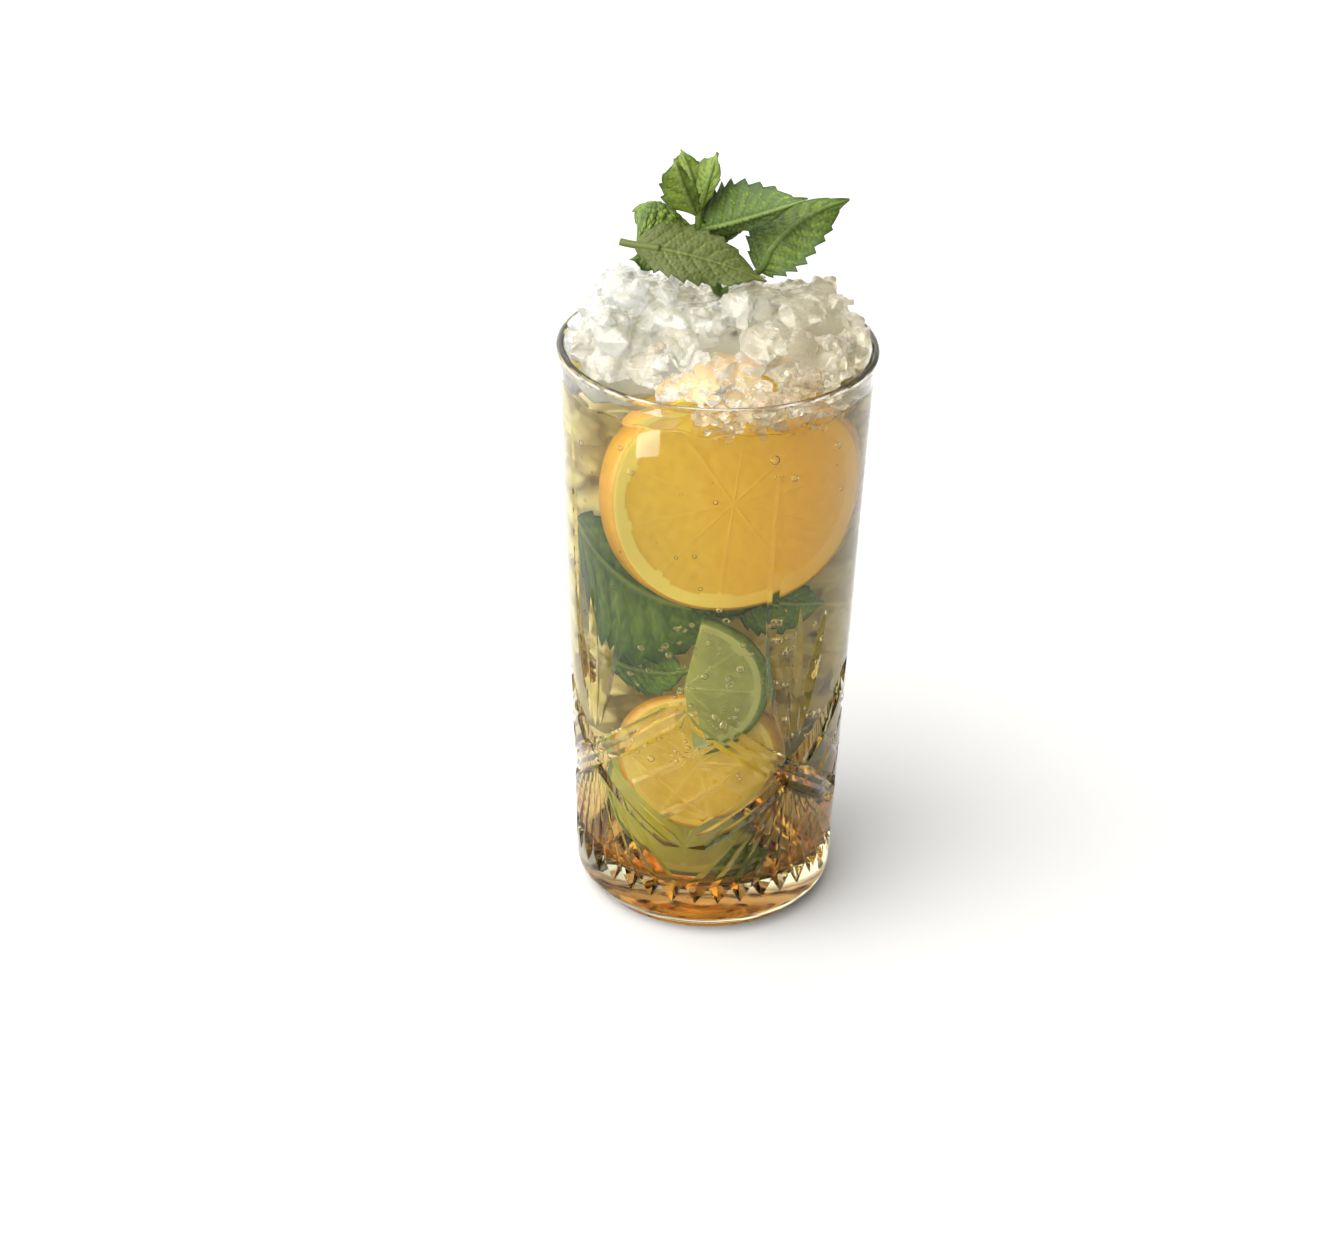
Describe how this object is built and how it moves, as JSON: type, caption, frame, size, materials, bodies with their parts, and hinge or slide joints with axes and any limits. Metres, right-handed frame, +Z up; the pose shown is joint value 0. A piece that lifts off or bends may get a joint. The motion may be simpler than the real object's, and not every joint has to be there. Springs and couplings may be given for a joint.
{
  "type": "mojito cocktail",
  "caption": "Tall cut-glass tumbler of mojito with an orange slice in the drink, crushed ice heaped over the rim, and a mint sprig and loose leaf on top.",
  "frame": {"origin": "centre of the glass's base, on the surface it stands on", "axes": "+Z up along the glass's axis; -Y towards the viewer who faces the orange slice, +X to that viewer's right"},
  "size_m": [0.078, 0.078, 0.1966],
  "materials": {
    "glass": "clear, polished",
    "drink": "clear liquid, yellow green, amber at the bottom",
    "orange": "wet fruit flesh with a pale pith and an orange peel",
    "ice": "wet, frosted",
    "mint": "matt veined leaf"
  },
  "bodies": {
    "root": {"glass": "glass", "drink": "drink", "orange_slice": "orange", "crushed_ice": "ice", "mint_sprig": "mint", "mint_leaf": "mint"}
  },
  "joints": []
}
